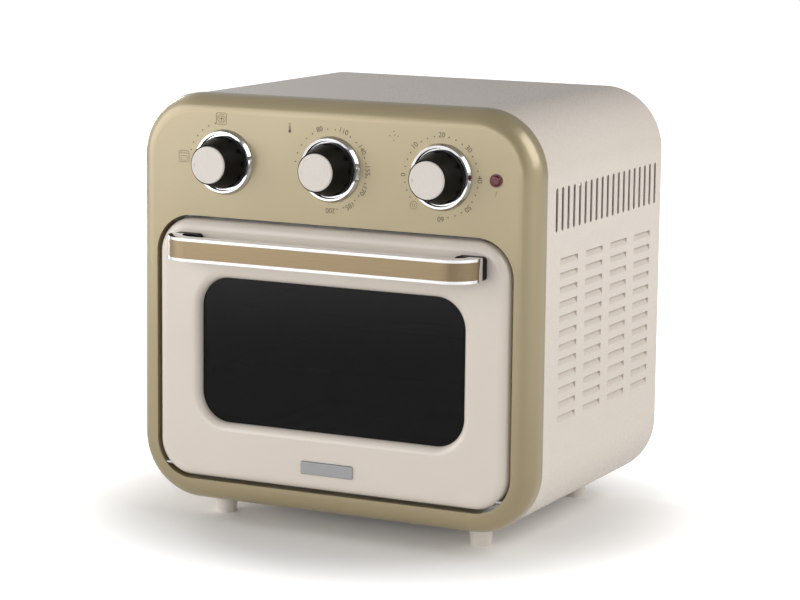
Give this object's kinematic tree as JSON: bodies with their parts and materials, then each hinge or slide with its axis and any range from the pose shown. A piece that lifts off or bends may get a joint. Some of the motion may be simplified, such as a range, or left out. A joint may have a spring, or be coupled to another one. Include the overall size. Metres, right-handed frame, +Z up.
{
  "type": "air fryer oven",
  "caption": "Countertop air fryer oven with a drop-down glazed door, bar handle, rotary knobs, mesh baskets, fan, heater and slotted cabinet.",
  "frame": {"origin": "middle of the footprint of the overall box, on the table, at the underside of the feet", "axes": "+X to the right seen from the front, -Y out of the door's front, +Z up"},
  "size_m": [0.34, 0.296, 0.338],
  "materials": {
    "champagne_paint": "satin metallic",
    "cream_enamel": "gloss",
    "cream_plastic": "gloss",
    "chrome": "polished",
    "black_plastic": "satin",
    "silicone": "matte",
    "zinc_steel": "zinc plated",
    "chamber_steel": "aluminised",
    "nonstick": "matte",
    "fan_aluminium": "plain",
    "heater_alloy": "oxidised",
    "copper_tube": "plain",
    "core_steel": "varnished",
    "tinted_glass": "polished",
    "red_lens": "gloss"
  },
  "bodies": {
    "housing": {"back_panel": "zinc_steel", "base_plate": "zinc_steel", "bezel_function": "chrome", "bezel_temperature": "chrome", "bezel_timer": "chrome", "case_screws": "zinc_steel", "chamber_back": "chamber_steel", "chamber_ceiling": "chamber_steel", "chamber_flange": "zinc_steel", "chamber_floor": "chamber_steel", "chamber_gasket": "silicone", "chamber_wall_left": "chamber_steel", "chamber_wall_right": "chamber_steel", "control_bracket": "zinc_steel", "cord_gland": "black_plastic", "fan_dome": "chamber_steel", "fan_guard": "chamber_steel", "foot_front_left": "cream_plastic", "foot_front_right": "cream_plastic", "foot_rear_left": "cream_plastic", "foot_rear_right": "cream_plastic", "front_frame": "champagne_paint", "heater": "heater_alloy", "hinge_pins": "zinc_steel", "motor": "core_steel", "motor_bracket": "zinc_steel", "outer_wrap": "cream_enamel", "pilot_lamp": "red_lens", "selector_switch": "black_plastic", "terminal_block": "black_plastic", "thermostat": "zinc_steel", "thermostat_bulb": "copper_tube", "timer": "zinc_steel"},
    "door": {"door_frame": "cream_enamel", "door_inner_panel": "zinc_steel", "door_glass": "tinted_glass", "glass_seal": "silicone", "handle_bar": "chrome", "handle_inlay": "champagne_paint", "handle_mount_left": "black_plastic", "handle_mount_right": "black_plastic", "badge_plaque": "chrome", "door_stay_left": "zinc_steel", "door_stay_right": "zinc_steel", "door_screws": "zinc_steel"},
    "function_knob": {"knob_function": "black_plastic", "knob_cap_function": "cream_plastic", "spindle_function": "zinc_steel"},
    "temperature_knob": {"knob_temperature": "black_plastic", "knob_cap_temperature": "cream_plastic", "spindle_temperature": "zinc_steel"},
    "timer_knob": {"knob_timer": "black_plastic", "knob_cap_timer": "cream_plastic", "spindle_timer": "zinc_steel"},
    "fan": {"fan_shaft": "zinc_steel", "hot_air_fan": "fan_aluminium", "cooling_fan": "fan_aluminium"},
    "upper_basket": {"basket_upper": "nonstick"},
    "lower_basket": {"basket_lower": "nonstick"},
    "tray": {"crumb_tray": "nonstick"}
  },
  "joints": [
    {"name": "door_hinge", "type": "hinge", "parent": "housing", "child": "door", "pos_m": [0, -0.1105, 0.04365], "axis": [1, 0, 0], "range_deg": [0, 90]},
    {"name": "function_turn", "type": "hinge", "parent": "housing", "child": "function_knob", "pos_m": [-0.093, -0.113, 0.2865], "axis": [0, 1, 0], "range_deg": [0, 90]},
    {"name": "temperature_turn", "type": "hinge", "parent": "housing", "child": "temperature_knob", "pos_m": [0, -0.113, 0.2865], "axis": [0, 1, 0], "range_deg": [0, 270]},
    {"name": "timer_turn", "type": "hinge", "parent": "housing", "child": "timer_knob", "pos_m": [0.093, -0.113, 0.2865], "axis": [0, 1, 0], "range_deg": [-45, 270]},
    {"name": "fan_spin", "type": "hinge", "parent": "housing", "child": "fan", "pos_m": [0, 0.025, 0.25], "axis": [0, 0, 1], "continuous": true},
    {"name": "upper_basket_slide", "type": "slide", "parent": "housing", "child": "upper_basket", "axis": [0, -1, 0], "range_m": [0, 0.03]},
    {"name": "lower_basket_slide", "type": "slide", "parent": "housing", "child": "lower_basket", "axis": [0, -1, 0], "range_m": [0, 0.03]},
    {"name": "crumb_tray_slide", "type": "slide", "parent": "housing", "child": "tray", "axis": [0, -1, 0], "range_m": [0, 0.014]}
  ]
}
